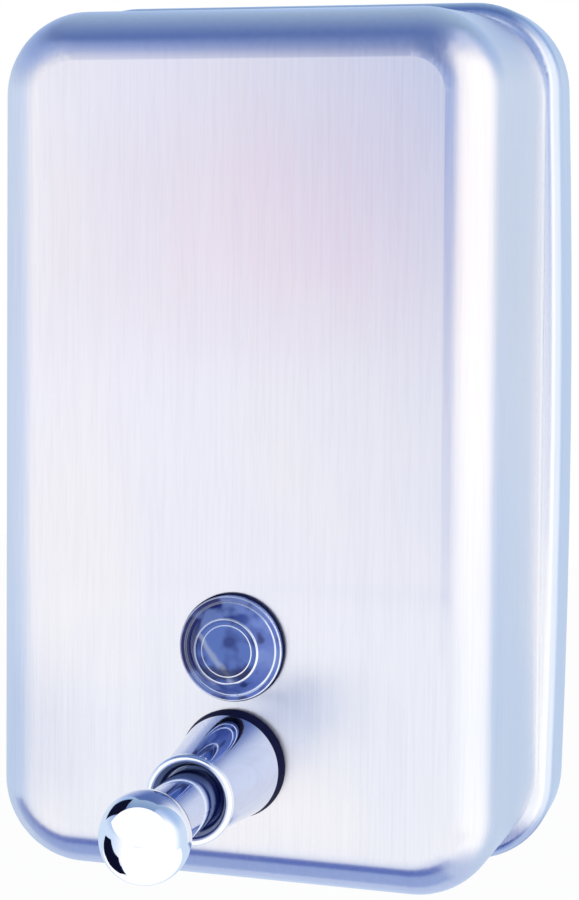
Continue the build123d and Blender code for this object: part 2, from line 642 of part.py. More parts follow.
def inlet_housing():
    """Rear plug of the cylinder with an upright ball chamber and a hose nipple."""
    plug_back = CHAMBER_END - PLUG_LENGTH
    flange_back = plug_back - FLANGE_SHEET
    seat_bottom = INLET_SEAT_Z - INLET_SEAT_WALL
    chamber_top = VALVE_Z + INLET_BALL_RADIUS + INLET_LIFT + INLET_CAP_THREAD
    body = rod(VALVE_Z, SHANK_RADIUS, plug_back, CHAMBER_END - SEAT_GAP)
    body += rod(VALVE_Z, CYLINDER_BORE + CYLINDER_WALL, flange_back, plug_back)
    body += rod(VALVE_Z, INLET_RADIUS, INLET_W, flange_back)
    body += upright_rod(INLET_RADIUS, INLET_W, seat_bottom, chamber_top)
    body += upright_rod(NIPPLE_RADIUS, INLET_W, seat_bottom - NIPPLE_LENGTH, seat_bottom)
    body -= rod(VALVE_Z, INLET_PORT_RADIUS, INLET_W, CHAMBER_END)
    body -= upright_rod(INLET_BORE, INLET_W, INLET_SEAT_Z, chamber_top)
    return body - upright_rod(INLET_SEAT_RADIUS, INLET_W, seat_bottom - NIPPLE_LENGTH, INLET_SEAT_Z)


def inlet_plug():
    """Screw cap of the ball chamber."""
    chamber_top = VALVE_Z + INLET_BALL_RADIUS + INLET_LIFT + INLET_CAP_THREAD
    thread = upright_rod(INLET_BORE - SEAT_GAP, INLET_W, VALVE_Z + INLET_BALL_RADIUS + INLET_LIFT, chamber_top)
    cap = RegularPolygon(INLET_RADIUS, 6)
    head = extrude(Plane(origin=(0, PANEL_Y - INLET_W, chamber_top)) * cap, amount=INLET_CAP_HEIGHT)
    return thread + head


def seated_ball(radius, seat):
    """Height of a ball's centre above the edge that it sits on."""
    return sqrt(radius ** 2 - seat ** 2) + SEAT_GAP


def inlet_ball():
    """Steel ball on the inlet seat, held down by its weight."""
    height = seated_ball(INLET_BALL_RADIUS, INLET_SEAT_RADIUS)
    return Pos(0, PANEL_Y - INLET_W, INLET_SEAT_Z + height) * Sphere(INLET_BALL_RADIUS)


def outlet_ball():
    """Steel ball on the piston's seat."""
    height = seated_ball(OUTLET_BALL_RADIUS, OUTLET_SEAT_RADIUS)
    return Pos(0, PANEL_Y - BALL_SEAT_W - height, VALVE_Z) * Sphere(OUTLET_BALL_RADIUS)


def outlet_spring():
    """Light spring between the outlet ball and a step in the duct."""
    ball_front = BALL_SEAT_W + seated_ball(OUTLET_BALL_RADIUS, OUTLET_SEAT_RADIUS) + OUTLET_BALL_RADIUS
    step = BALL_SEAT_W + 2 * OUTLET_BALL_RADIUS + OUTLET_SPRING_LENGTH
    mean = DUCT_RADIUS - OUTLET_SPRING_WIRE
    return coil(VALVE_Z, mean, OUTLET_SPRING_WIRE, OUTLET_SPRING_TURNS, ball_front, step - SEAT_GAP)


def return_spring():
    """Spring round the rod that pushes the stem out."""
    mean = (ROD_RADIUS + STEM_RADIUS + WIPER_WIDTH / 2) / 2
    return coil(VALVE_Z, mean, SPRING_WIRE, SPRING_TURNS, SLEEVE_FLOOR + SEAT_GAP, STEM_SHOULDER - SEAT_GAP)


def pickup_tube():
    """Clear tube from the nipple down to the tank's floor."""
    top = INLET_SEAT_Z - INLET_SEAT_WALL - SEAT_GAP
    bottom = TANK_FLOOR_Z + TUBE_FLOOR_GAP
    bore = NIPPLE_RADIUS + SEAT_GAP
    return upright_rod(bore + TUBE_WALL, INLET_W, bottom, top) - upright_rod(bore, INLET_W, bottom, top)


WASHER_BACK = -SHEET - INNER_GASKET - WASHER_SHEET
WINDOW_BORE = WINDOW_SHANK_RADIUS + HOLE_GAP
VALVE_BORE = SHANK_RADIUS + HOLE_GAP

NODES = {
    "front_pan": front_pan(),
    "rear_pan": rear_pan(),
    "wall_bracket": wall_bracket(),
    "upper_hanger": hanger(BRACKET_TOP + HOOK_HEIGHT),
    "lower_hanger": hanger(BRACKET_BOTTOM + HOOK_HEIGHT),
    "filler_frame": filler_frame(),
    "filler_lid": filler_lid(),
    "lid_gasket": lid_gasket(),
    "lid_hinge_leaf": lid_hinge_leaf(),
    "tank_hinge_leaf": tank_hinge_leaf(),
    "hinge_pin": hinge_pin(),
    "lock_body": lock_body(),
    "lock_plug": lock_plug(),
    "lock_cam": lock_cam(),
    "cam_screw": cam_screw(),
    "sight_window": sight_window(),
    "window_gasket": ring(WINDOW_Z, WINDOW_BORE, WINDOW_RADIUS + WINDOW_GASKET_LIP, 0, WINDOW_GASKET),
    "window_inner_gasket": ring(WINDOW_Z, WINDOW_BORE, WINDOW_BORE + INNER_GASKET_WIDTH,
                                -SHEET - INNER_GASKET, -SHEET),
    "window_nut": hex_nut(WINDOW_Z, WINDOW_NUT_ACROSS, WINDOW_BORE,
                          -SHEET - INNER_GASKET - WINDOW_NUT_HEIGHT, -SHEET - INNER_GASKET),
    "valve_gasket": valve_gasket(),
    "valve_sleeve": valve_sleeve(),
    "stem_wiper": stem_wiper(),
    "push_stem": push_stem(),
    "push_knob": push_knob(),
    "return_spring": return_spring(),
    "valve_inner_gasket": ring(VALVE_Z, VALVE_BORE, VALVE_BORE + INNER_GASKET_WIDTH,
                               -SHEET - INNER_GASKET, -SHEET),
    "valve_washer": ring(VALVE_Z, VALVE_BORE, VALVE_BORE + INNER_GASKET_WIDTH,
                         WASHER_BACK, -SHEET - INNER_GASKET),
    "valve_nut": hex_nut(VALVE_Z, VALVE_NUT_ACROSS, VALVE_BORE, WASHER_BACK - VALVE_NUT_HEIGHT, WASHER_BACK),
    "piston": piston(),
    "piston_seal": piston_seal(),
    "outlet_ball": outlet_ball(),
    "outlet_spring": outlet_spring(),
    "pump_cylinder": pump_cylinder(),
    "inlet_housing": inlet_housing(),
    "inlet_plug": inlet_plug(),
    "inlet_ball": inlet_ball(),
    "pickup_tube": pickup_tube(),
}

os.makedirs("parts", exist_ok=True)
for name, shape in NODES.items():
    export_step(shape, f"parts/{name}.step")
    print(name, round(shape.volume, 1))
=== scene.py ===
# %% [markdown]
# # A wall soap dispenser in satin steel
#
# The solids of the dispenser come ready made, in metres, with the wall at Y = 0 and the front facing -Y.
# This lesson gives every piece its finish, lights it as a small product studio would, and puts the camera
# where the photographer stood. We measure the box of the solids first, because dressing must not change it.

# %% Load the solids
import json
from math import cos, radians, sin, sqrt

import bpy
from mathutils import Matrix, Vector

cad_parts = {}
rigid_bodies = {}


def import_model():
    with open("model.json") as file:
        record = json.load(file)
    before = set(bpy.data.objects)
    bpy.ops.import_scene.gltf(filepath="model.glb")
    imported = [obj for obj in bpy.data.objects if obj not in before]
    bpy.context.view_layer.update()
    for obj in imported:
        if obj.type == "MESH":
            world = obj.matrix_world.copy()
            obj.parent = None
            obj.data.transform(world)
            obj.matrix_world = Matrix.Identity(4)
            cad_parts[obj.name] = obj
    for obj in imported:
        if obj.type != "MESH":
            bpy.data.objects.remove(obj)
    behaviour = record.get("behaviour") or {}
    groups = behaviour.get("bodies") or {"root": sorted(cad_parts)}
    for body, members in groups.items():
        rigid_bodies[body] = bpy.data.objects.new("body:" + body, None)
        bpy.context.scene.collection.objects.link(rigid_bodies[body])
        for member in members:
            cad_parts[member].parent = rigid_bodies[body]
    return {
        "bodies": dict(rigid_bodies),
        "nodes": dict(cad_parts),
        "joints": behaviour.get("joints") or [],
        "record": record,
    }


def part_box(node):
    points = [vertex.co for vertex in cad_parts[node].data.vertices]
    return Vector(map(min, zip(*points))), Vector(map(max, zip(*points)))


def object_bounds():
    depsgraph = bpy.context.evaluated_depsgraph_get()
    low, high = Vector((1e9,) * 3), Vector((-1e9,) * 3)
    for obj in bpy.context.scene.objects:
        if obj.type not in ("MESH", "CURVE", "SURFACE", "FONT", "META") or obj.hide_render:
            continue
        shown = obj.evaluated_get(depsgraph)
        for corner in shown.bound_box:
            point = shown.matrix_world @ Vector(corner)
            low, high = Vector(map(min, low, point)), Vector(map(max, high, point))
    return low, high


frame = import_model()
cad_low, cad_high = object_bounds()
scene = bpy.context.scene
print("pieces:", len(frame["nodes"]), "size in mm:", [round(1000 * side, 1) for side in cad_high - cad_low])

# %% [markdown]
# ## The camera
#
# The picture shows the right flank and hardly any of the top, so the camera stands to the right and a
# little above the middle. We could aim it by eye, but a wide view so close to the object makes strong
# perspective, and only the true distance gives the true outline. So the camera is placed by its distance,
# its turn, its tilt and a small roll, and the lens shift slides the frame without turning the view.

# %% Place the camera
IMAGE_WIDTH, IMAGE_HEIGHT = 579, 900
SENSOR = 36.0
VIEW_DISTANCE = 0.48604
VIEW_TURN, VIEW_TILT, VIEW_ROLL = radians(17.05), radians(2.27), radians(0.34)
FOCAL_PIXELS = 2205.4
AXIS_PIXEL = (239.64, 272.03)
AIM_ACROSS, AIM_UP = 0.00098, 0.03967

panel_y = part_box("front_pan")[0].y
aim = Vector((AIM_ACROSS, panel_y, AIM_UP))
forward = Vector((-sin(VIEW_TURN) * cos(VIEW_TILT), cos(VIEW_TURN) * cos(VIEW_TILT), -sin(VIEW_TILT)))
level = Vector((cos(VIEW_TURN), sin(VIEW_TURN), 0.0))
down = forward.cross(level)
across = cos(VIEW_ROLL) * level - sin(VIEW_ROLL) * down
upward = -(sin(VIEW_ROLL) * level + cos(VIEW_ROLL) * down)

lens = bpy.data.cameras.new("photo_camera")
lens.sensor_width = SENSOR
lens.lens = FOCAL_PIXELS * SENSOR / IMAGE_HEIGHT
lens.shift_x = (IMAGE_WIDTH / 2 - AXIS_PIXEL[0]) / IMAGE_HEIGHT
lens.shift_y = (AXIS_PIXEL[1] - IMAGE_HEIGHT / 2) / IMAGE_HEIGHT
lens.clip_start, lens.clip_end = 0.01, 50.0
camera = bpy.data.objects.new("photo_camera", lens)
scene.collection.objects.link(camera)
turn = Matrix((across, upward, -forward)).transposed().to_4x4()
camera.matrix_world = Matrix.Translation(aim - VIEW_DISTANCE * forward) @ turn
scene.camera = camera
lens_place = camera.matrix_world.translation
print("camera at", [round(v, 3) for v in lens_place], "lens", round(lens.lens, 1), "mm")

# %% [markdown]
# ## Writing shader maths as Python
#
# A finish is a web of nodes. Wiring it by hand takes many lines, so a small class wraps a socket and lets
# us write `1 - mask` or `grain * 0.2 + 0.3`: each sign adds one Math node. Every other kind of node comes
# from one method that takes the node's type, its settings and its sockets.

# %% Signals and finishes
class Signal:
    """One output socket that can be used in Python arithmetic."""

    def __init__(self, web, socket):
        self.web, self.socket = web, socket

    def math(self, operation, first, second):
        return self.web.add("ShaderNodeMath", {"operation": operation}, {0: first, 1: second})

    def __add__(self, other):
        return self.math("ADD", self, other)

    def __sub__(self, other):
        return self.math("SUBTRACT", self, other)

    def __rsub__(self, other):
        return self.math("SUBTRACT", other, self)

    def __mul__(self, other):
        return self.math("MULTIPLY", self, other)

    __radd__, __rmul__ = __add__, __mul__


class Web:
    """A node tree that is filled from Python."""

    def __init__(self, tree):
        self.tree = tree
        tree.nodes.clear()

    def add(self, kind, settings=None, sockets=None, output=0):
        """Adds a node, sets it up, fills its sockets and returns one output as a signal."""
        node = self.tree.nodes.new(kind)
        for name, value in (settings or {}).items():
            setattr(node, name, value)
        for key, value in (sockets or {}).items():
            if isinstance(value, Signal):
                self.tree.links.new(value.socket, node.inputs[key])
            else:
                node.inputs[key].default_value = value
        return Signal(self, node.outputs[output]) if node.outputs else None

    def noise(self, stretch, detail=2.0, roughness=0.5):
        """Noise in the object's own metres; stretch is cycles per metre along each axis."""
        place = self.add("ShaderNodeTexCoord", output="Object")
        scaled = self.add("ShaderNodeVectorMath", {"operation": "MULTIPLY"}, {0: place, 1: stretch})
        return self.add("ShaderNodeTexNoise", {}, {"Vector": scaled, "Scale": 1.0, "Detail": detail,
                                                    "Roughness": roughness})

    def place(self, axis, frame="Object"):
        """One coordinate of the point that is shaded, or in a world, of the direction that is seen."""
        point = self.add("ShaderNodeTexCoord", output=frame)
        return self.add("ShaderNodeSeparateXYZ", {}, {0: point}, output=axis)

    def around(self, centre):
        """Place across and above a centre that lies on a Y axis, and the distance from it."""
        across, upward = self.place("X") - centre.x, self.place("Z") - centre.z
        square = across * across + upward * upward
        return across, upward, self.add("ShaderNodeMath", {"operation": "SQRT"}, {0: square})

    def blend(self, factor, first, second):
        """Colour between two colours."""
        return self.add("ShaderNodeMix", {"data_type": "RGBA"}, {0: factor, 6: first, 7: second}, output=2)

    def steps(self, signal, low, high, smooth=True):
        """0 below low and 1 above high, with a soft change between."""
        settings = {"interpolation_type": "SMOOTHSTEP" if smooth else "LINEAR"}
        sockets = {"Value": signal, "From Min": low, "From Max": high}
        return self.add("ShaderNodeMapRange", settings, sockets)

    def window(self, signal, start, full, fade, end):
        """1 between full and fade, and 0 outside start and end."""
        return self.steps(signal, start, full) * (1 - self.steps(signal, fade, end))

    def bump(self, height, strength, distance):
        """Surface normal bent by a height."""
        sockets = {"Height": height, "Strength": strength, "Distance": distance}
        return self.add("ShaderNodeBump", {}, sockets)

    def surface(self, sockets):
        """The main shader, wired to the output."""
        shader = self.add("ShaderNodeBsdfPrincipled", {}, sockets)
        self.add("ShaderNodeOutputMaterial", {}, {"Surface": shader})


def rgb(red, green, blue):
    """Linear colour with full cover."""
    return red, green, blue, 1.0


def middle(node):
    """Middle of a piece's box."""
    return sum(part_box(node), Vector()) / 2


def new_finish(name):
    """An empty material and its web."""
    material = bpy.data.materials.new(name)
    material.use_nodes = True
    return material, Web(material.node_tree)


def wear(finish, *nodes):
    """Gives a finish to pieces."""
    for node in nodes:
        slots = frame["nodes"][node].data.materials
        slots.clear()
        slots.append(finish)
    print(finish.name, "on", len(nodes), "pieces")


# %% [markdown]
# ## Satin steel
#
# The tank is pressed from stainless sheet and brushed upright with a fine belt. The belt leaves hair lines
# that are far longer than they are wide, so a noise that is squeezed sideways and stretched upright makes
# them. The lines change the roughness and lift the surface a little. A slow, wide noise adds the clouds
# that hands and the press leave. A rosy painted reflection lies on the upper panel, and a darker bluish
# patch sits low on the left. The front is painted darker and bluer along its bottom edge, as shade. Both
# pans carry a painted highlight along their seam. The rear pan is painted a tone darker and bluer, as
# shade, without the front's clouds; its shoulder is painted darker still just behind the seam, and darkest
# underneath.

# %% Satin steel
def satin_steel(name, seam, rear_shade=0.0):
    """Brushed sheet; the last argument paints the rear pan's darker, bluer shade in place of the front's
    clouds.
    """
    finish, web = new_finish(name)
    hair = web.noise((2600.0, 2600.0, 26.0), detail=3.0, roughness=0.6)
    grain = web.noise((1300.0, 1300.0, 60.0), detail=3.0, roughness=0.6)
    broad = web.noise((420.0, 420.0, 7.0), detail=2.0)
    cloud = web.noise((16.0, 16.0, 11.0), detail=3.0, roughness=0.55)
    side, depth, height = [web.place(axis) for axis in "XYZ"]
    tint = web.blend(web.steps(height, -0.070, 0.015), rgb(0.755, 0.785, 0.870), rgb(0.850, 0.835, 0.905))
    tint = web.blend(web.window(height, 0.008, 0.042, 0.056, 0.080), tint, rgb(0.82, 0.80, 0.86))
    tint = web.blend(0.6 * web.steps(cloud, 0.40, 0.60), tint, rgb(0.89, 0.86, 0.87))
    # Painted reflection: a rosy patch on the upper panel, broken up by the clouds.
    rosy_reflection = web.window(height, 0.010, 0.048, 0.056, 0.100)
    rosy_reflection = rosy_reflection * web.window(side, -0.060, 0.012, 0.026, 0.062)
    tint = web.blend(rosy_reflection * (0.4 + 0.8 * cloud), tint, rgb(0.89, 0.75, 0.81))
    # A darker bluish patch low on the left.
    low_left_patch = web.window(side, -0.060, -0.050, -0.046, -0.032)
    low_left_patch = low_left_patch * web.window(height, -0.092, -0.072, -0.064, -0.040)
    tint = web.blend(low_left_patch * (0.2 + 0.4 * cloud), tint, rgb(0.56, 0.60, 0.74))
    # Painted shade: darker and bluer along the bottom edge.
    tint = web.blend(web.steps(height, -0.086, -0.098), tint, rgb(0.70, 0.74, 0.87))
    # Painted shade: on the rear pan one darker, bluer tint takes the place of all the tints above.
    tint = web.blend(rear_shade, tint, rgb(0.72, 0.78, 0.90))
    # Painted shade: darkest on the rear pan's shoulder underneath.
    under = web.steps(height, -0.088, -0.096)
    shoulder = 1 - web.steps(depth, seam + 0.004, seam + 0.010)
    tint = web.blend(under * shoulder * rear_shade, tint, rgb(0.20, 0.26, 0.52))
    # Painted highlight: a bright band along the seam, but not underneath.
    seam_highlight = web.window(depth, seam - 0.0045, seam - 0.0025, seam + 0.0002, seam + 0.0005)
    tint = web.blend(seam_highlight * (1 - under), tint, rgb(0.97, 0.98, 1.0))
    # Painted shade: a darker bluish band just behind the seam.
    shaded = web.window(depth, seam + 0.0003, seam + 0.0006, seam + 0.0014, seam + 0.0022)
    tint = web.blend(shaded, tint, rgb(0.62, 0.70, 0.84))
    streak = web.steps(hair * 0.6 + broad * 0.4, 0.25, 0.75)
    colour = web.blend(streak * 0.3, tint, rgb(0.93, 0.93, 0.97))
    colour = web.blend(0.06 * web.steps(grain, 0.40, 0.70), colour, rgb(0.42, 0.45, 0.56))
    roughness = 0.19 + 0.08 * hair + 0.04 * (cloud - 0.5)
    normal = web.bump(hair * 0.7 + grain * 0.1 + broad * 0.2, 0.10, 0.00006)
    web.surface({"Base Color": colour, "Metallic": 1.0, "Roughness": roughness, "Normal": normal,
                 "Anisotropic": 0.7})
    return finish


LAP = 0.004
seam_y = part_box("rear_pan")[0].y + LAP
wear(satin_steel("satin_steel", seam_y), "front_pan", "filler_frame", "filler_lid")
wear(satin_steel("rear_steel_shaded", seam_y, rear_shade=1.0), "rear_pan", "upper_hanger", "lower_hanger")

# %% [markdown]
# ## Chrome
#
# The sleeve, stem and knob are turned brass under chrome. Real chrome is never a perfect mirror: turning
# leaves faint rings and fingers leave smudges. Both are small changes of roughness and height. The knob and
# the sleeve's lip keep the bright chrome colour, and the rest of the sleeve and the stem are painted a tone
# darker and bluer, as shade. Inside the lip, a painted reflection fills the bore: pale blue on one side and
# deep blue on the other, with a painted dark ring and a painted pale highlight ring.

# %% Chrome
CLEAN_CHROME = rgb(0.94, 0.96, 0.99)
EDGE_BLUR = 0.0006


def painted_bore_reflection(web, bore):
    """Mask and colours of the reflection painted inside the sleeve's bore."""
    across, upward, radius = web.around(middle("valve_sleeve"))
    # Painted reflection: pale blue on one side of the bore and deep blue on the other.
    lean = web.steps(across - upward, -0.007, 0.006)
    reflection_colour = web.blend(lean, rgb(0.42, 0.51, 0.74), rgb(0.045, 0.075, 0.34))
    # Painted shade: a dark ring on the pale side.
    shade_ring = web.window(radius, 0.0066, 0.0069, 0.0072, 0.0075) * (1 - lean)
    reflection_colour = web.blend(shade_ring, reflection_colour, rgb(0.03, 0.04, 0.16))
    # Painted highlight: a pale ring on the dark side.
    highlight_ring = web.window(radius, 0.0071, 0.0074, 0.0077, 0.0080) * lean
    reflection_colour = web.blend(highlight_ring, reflection_colour, rgb(0.80, 0.88, 1.0))
    return web.steps(radius, bore, bore - EDGE_BLUR), reflection_colour


def chrome(name, dull, clean, unshaded_from=None, bore=None):
    """Chrome between two tones, with a bright unshaded end and a painted reflection in its bore where
    given.
    """
    finish, web = new_finish(name)
    smudge = web.noise((90.0, 90.0, 90.0), detail=4.0)
    fine = web.noise((900.0, 5200.0, 900.0), detail=2.0)
    colour = web.blend(smudge, dull, clean)
    metallic = 1.0
    if unshaded_from is not None:
        # The end in front of this depth keeps the bright chrome colour, free of the painted shade.
        unshaded_end = web.steps(web.place("Y"), unshaded_from, unshaded_from - EDGE_BLUR)
        colour = web.blend(unshaded_end, colour, CLEAN_CHROME)
    if bore is not None:
        inside, reflection_colour = painted_bore_reflection(web, bore)
        colour = web.blend(inside, colour, reflection_colour)
        metallic = 1 - 0.6 * inside
    roughness = 0.03 + 0.05 * web.steps(smudge, 0.45, 0.8)
    normal = web.bump(fine, 0.03, 0.00002)
    web.surface({"Base Color": colour, "Metallic": metallic, "Roughness": roughness, "Normal": normal})
    return finish


# The lip's depth, and the radius of the bore in which the reflection is painted.
LIP_DEPTH, REFLECTION_RADIUS = 0.0024, 0.0086
# Painted shade: the sleeve and stem are a tone darker and bluer than the knob.
SHADED_TONES = rgb(0.58, 0.65, 0.83), rgb(0.66, 0.72, 0.88)
lip_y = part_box("valve_sleeve")[0].y + LIP_DEPTH
wear(chrome("bright_chrome", rgb(0.88, 0.92, 0.97), CLEAN_CHROME), "push_knob", "lock_body", "lock_plug")
wear(chrome("shaded_chrome", *SHADED_TONES), "push_stem")
wear(chrome("lipped_chrome", *SHADED_TONES, unshaded_from=lip_y, bore=REFLECTION_RADIUS), "valve_sleeve")

# %% [markdown]
# ## Black rubber
#
# The gaskets are moulded rubber: nearly black, with a fine skin that scatters light and a trace of pale
# bloom.

# %% Black rubber
def black_rubber():
    finish, web = new_finish("black_rubber")
    skin = web.noise((2400.0, 2400.0, 2400.0), detail=3.0)
    bloom = web.noise((160.0, 160.0, 160.0), detail=3.0)
    colour = web.blend(web.steps(bloom, 0.5, 0.85), rgb(0.004, 0.006, 0.045), rgb(0.010, 0.014, 0.070))
    web.surface({"Base Color": colour, "Roughness": 0.50 + 0.2 * skin, "Specular IOR Level": 0.06,
                 "Normal": web.bump(skin, 0.2, 0.00005)})
    return finish


wear(black_rubber(), "valve_gasket", "window_gasket", "lid_gasket", "window_inner_gasket",
     "valve_inner_gasket", "stem_wiper", "piston_seal")

# %% [markdown]
# ## Clear plastic
#
# The sight window is moulded clear plastic over a dark tank, and its colour is painted: deep blue, darker
# at the upper left and paler at the right as painted shade and light, with soft painted light and dark
# patches, a painted pale streak and a painted dark patch on its face, and painted highlights in bright
# rings at its edges. The pick-up tube is a softer, milkier plastic.

# %% Clear plastics
# Radius and half width of each painted highlight ring.
RING_HIGHLIGHTS = [(0.0116, 0.00010), (0.0104, 0.00018), (0.0072, 0.00015), (0.0057, 0.00008)]


def window_plastic():
    finish, web = new_finish("window_plastic")
    across, upward, radius = web.around(middle("sight_window"))
    flow = web.noise((420.0, 420.0, 420.0), detail=3.0)
    drift = web.noise((150.0, 150.0, 150.0), detail=2.0)
    # Painted shade and light: dark navy at the upper left, mid blue at the right.
    lean = web.steps(across - upward * 0.6 + 0.010 * (drift - 0.5), -0.009, 0.010)
    colour = web.blend(lean, rgb(0.012, 0.022, 0.20), rgb(0.20, 0.31, 0.84))
    # Painted light and dark patches.
    colour = web.blend(0.6 * web.steps(drift, 0.48, 0.62), colour, rgb(0.34, 0.48, 0.98))
    colour = web.blend(0.7 * web.steps(drift, 0.44, 0.34), colour, rgb(0.010, 0.018, 0.15))
    # On the face, painted light and dark patches.
    face = web.steps(radius, 0.0073, 0.0069)
    dish = web.blend(web.steps(drift, 0.56, 0.40), rgb(0.15, 0.27, 0.74), rgb(0.04, 0.08, 0.36))
    colour = web.blend(face, colour, dish)
    # Painted highlight: a pale streak across the face.
    slant = across + upward * 0.75 + 0.004 * (drift - 0.5)
    streak = web.window(slant, -0.0052, -0.0040, -0.0036, -0.0024)
    colour = web.blend(face * streak * 0.7, colour, rgb(0.62, 0.70, 0.92))
    # Painted shade: a dark patch low on the face.
    foot = web.window(upward + 0.003 * (flow - 0.5), -0.0070, -0.0056, -0.0046, -0.0030)
    colour = web.blend(face * foot * 0.75, colour, rgb(0.018, 0.024, 0.12))
    # Painted highlights: bright, metallic rings at the edges.
    edges = 0.0
    for ring, half in RING_HIGHLIGHTS:
        edges = edges + web.window(radius, ring - 2 * half, ring - half, ring + half, ring + 2 * half)
    shine = edges * (0.5 + 0.5 * lean)
    web.surface({"Base Color": web.blend(shine, colour, rgb(0.90, 0.94, 1.0)), "Metallic": shine,
                 "Roughness": 0.02 + 0.03 * flow, "Transmission Weight": 0.15, "IOR": 1.49,
                 "Specular IOR Level": 0.3})
    return finish


def tube_plastic():
    finish, web = new_finish("tube_plastic")
    haze = web.noise((300.0, 300.0, 60.0), detail=3.0)
    colour = web.blend(haze, rgb(0.78, 0.84, 0.86), rgb(0.88, 0.91, 0.91))
    web.surface({"Base Color": colour, "Roughness": 0.2 + 0.15 * haze, "Transmission Weight": 0.7,
                 "IOR": 1.45})
    return finish


wear(window_plastic(), "sight_window")
wear(tube_plastic(), "pickup_tube")

# %% [markdown]
# ## The works inside
#
# The pump is white moulded plastic, its nut is brass, the springs, pin and screw are drawn steel, the valve
# balls are ground steel and the bracket is zinc plated. They hardly show, but the lid opens, and a learner
# may take the model apart, so each gets a small recipe of its own.

# %% Inner finishes
def pump_plastic():
    finish, web = new_finish("pump_plastic")
    grain = web.noise((1500.0, 1500.0, 1500.0), detail=2.0)
    cloud = web.noise((60.0, 60.0, 60.0), detail=2.0)
    colour = web.blend(cloud, rgb(0.76, 0.77, 0.76), rgb(0.84, 0.84, 0.82))
    web.surface({"Base Color": colour, "Roughness": 0.42 + 0.12 * grain,
                 "Normal": web.bump(grain, 0.15, 0.00004)})
    return finish


def turned_brass():
    finish, web = new_finish("turned_brass")
    rings = web.noise((300.0, 4200.0, 300.0), detail=2.0)
    dull = web.noise((120.0, 120.0, 120.0), detail=4.0)
    colour = web.blend(dull, rgb(0.72, 0.52, 0.22), rgb(0.83, 0.66, 0.34))
    web.surface({"Base Color": colour, "Metallic": 1.0, "Roughness": 0.22 + 0.2 * dull,
                 "Normal": web.bump(rings, 0.1, 0.00004)})
    return finish


def drawn_steel():
    finish, web = new_finish("drawn_steel")
    pull = web.noise((1800.0, 1800.0, 1800.0), detail=2.0)
    stain = web.noise((140.0, 140.0, 140.0), detail=3.0)
    colour = web.blend(stain, rgb(0.50, 0.51, 0.54), rgb(0.64, 0.65, 0.67))
    web.surface({"Base Color": colour, "Metallic": 1.0, "Roughness": 0.2 + 0.16 * pull,
                 "Normal": web.bump(pull, 0.08, 0.00003)})
    return finish


def ground_steel():
    finish, web = new_finish("ground_steel")
    haze = web.noise((700.0, 700.0, 700.0), detail=3.0)
    colour = web.blend(haze, rgb(0.68, 0.69, 0.71), rgb(0.78, 0.79, 0.80))
    web.surface({"Base Color": colour, "Metallic": 1.0, "Roughness": 0.08 + 0.08 * haze})
    return finish


def zinc_plate():
    finish, web = new_finish("zinc_plate")
    place = web.add("ShaderNodeTexCoord", output="Object")
    flake = web.add("ShaderNodeTexVoronoi", {}, {"Vector": place, "Scale": 240.0}, output="Color")
    flake = web.add("ShaderNodeSeparateColor", {}, {"Color": flake})
    haze = web.noise((80.0, 80.0, 80.0), detail=4.0)
    mixed = flake * 0.6 + haze * 0.4
    colour = web.blend(mixed, rgb(0.46, 0.49, 0.53), rgb(0.66, 0.69, 0.73))
    web.surface({"Base Color": colour, "Metallic": 1.0, "Roughness": 0.3 + 0.2 * mixed,
                 "Normal": web.bump(haze, 0.06, 0.0001)})
    return finish


wear(pump_plastic(), "pump_cylinder", "inlet_housing", "inlet_plug", "piston", "window_nut")
wear(turned_brass(), "valve_nut")
wear(drawn_steel(), "return_spring", "outlet_spring", "hinge_pin", "cam_screw", "valve_washer")
wear(ground_steel(), "inlet_ball", "outlet_ball")
wear(zinc_plate(), "wall_bracket", "tank_hinge_leaf", "lid_hinge_leaf", "lock_cam")

# %% [markdown]
# ## The room that metal sees
#
# Metal has no colour of its own to speak of: it shows the room. A product studio wraps the object in white
# at eye level and lets the ceiling fall off to a deep blue, which draws the dark band along the tank's
# rounded top. It is deepest on the left, and it hangs lower over the front. Behind the object and to its
# left the room is pale blue, which tints the flanks. The soft box on the right is tall, so the top right
# corner stays bright. Between it and the front there is a narrow gap, and it draws a blue line down the
# right edge. The camera sees plain white, mirrors see the room, and everything else is lit by a soft even
# sky.

# %% World
WALL_WHITE = rgb(1.10, 1.09, 1.09)


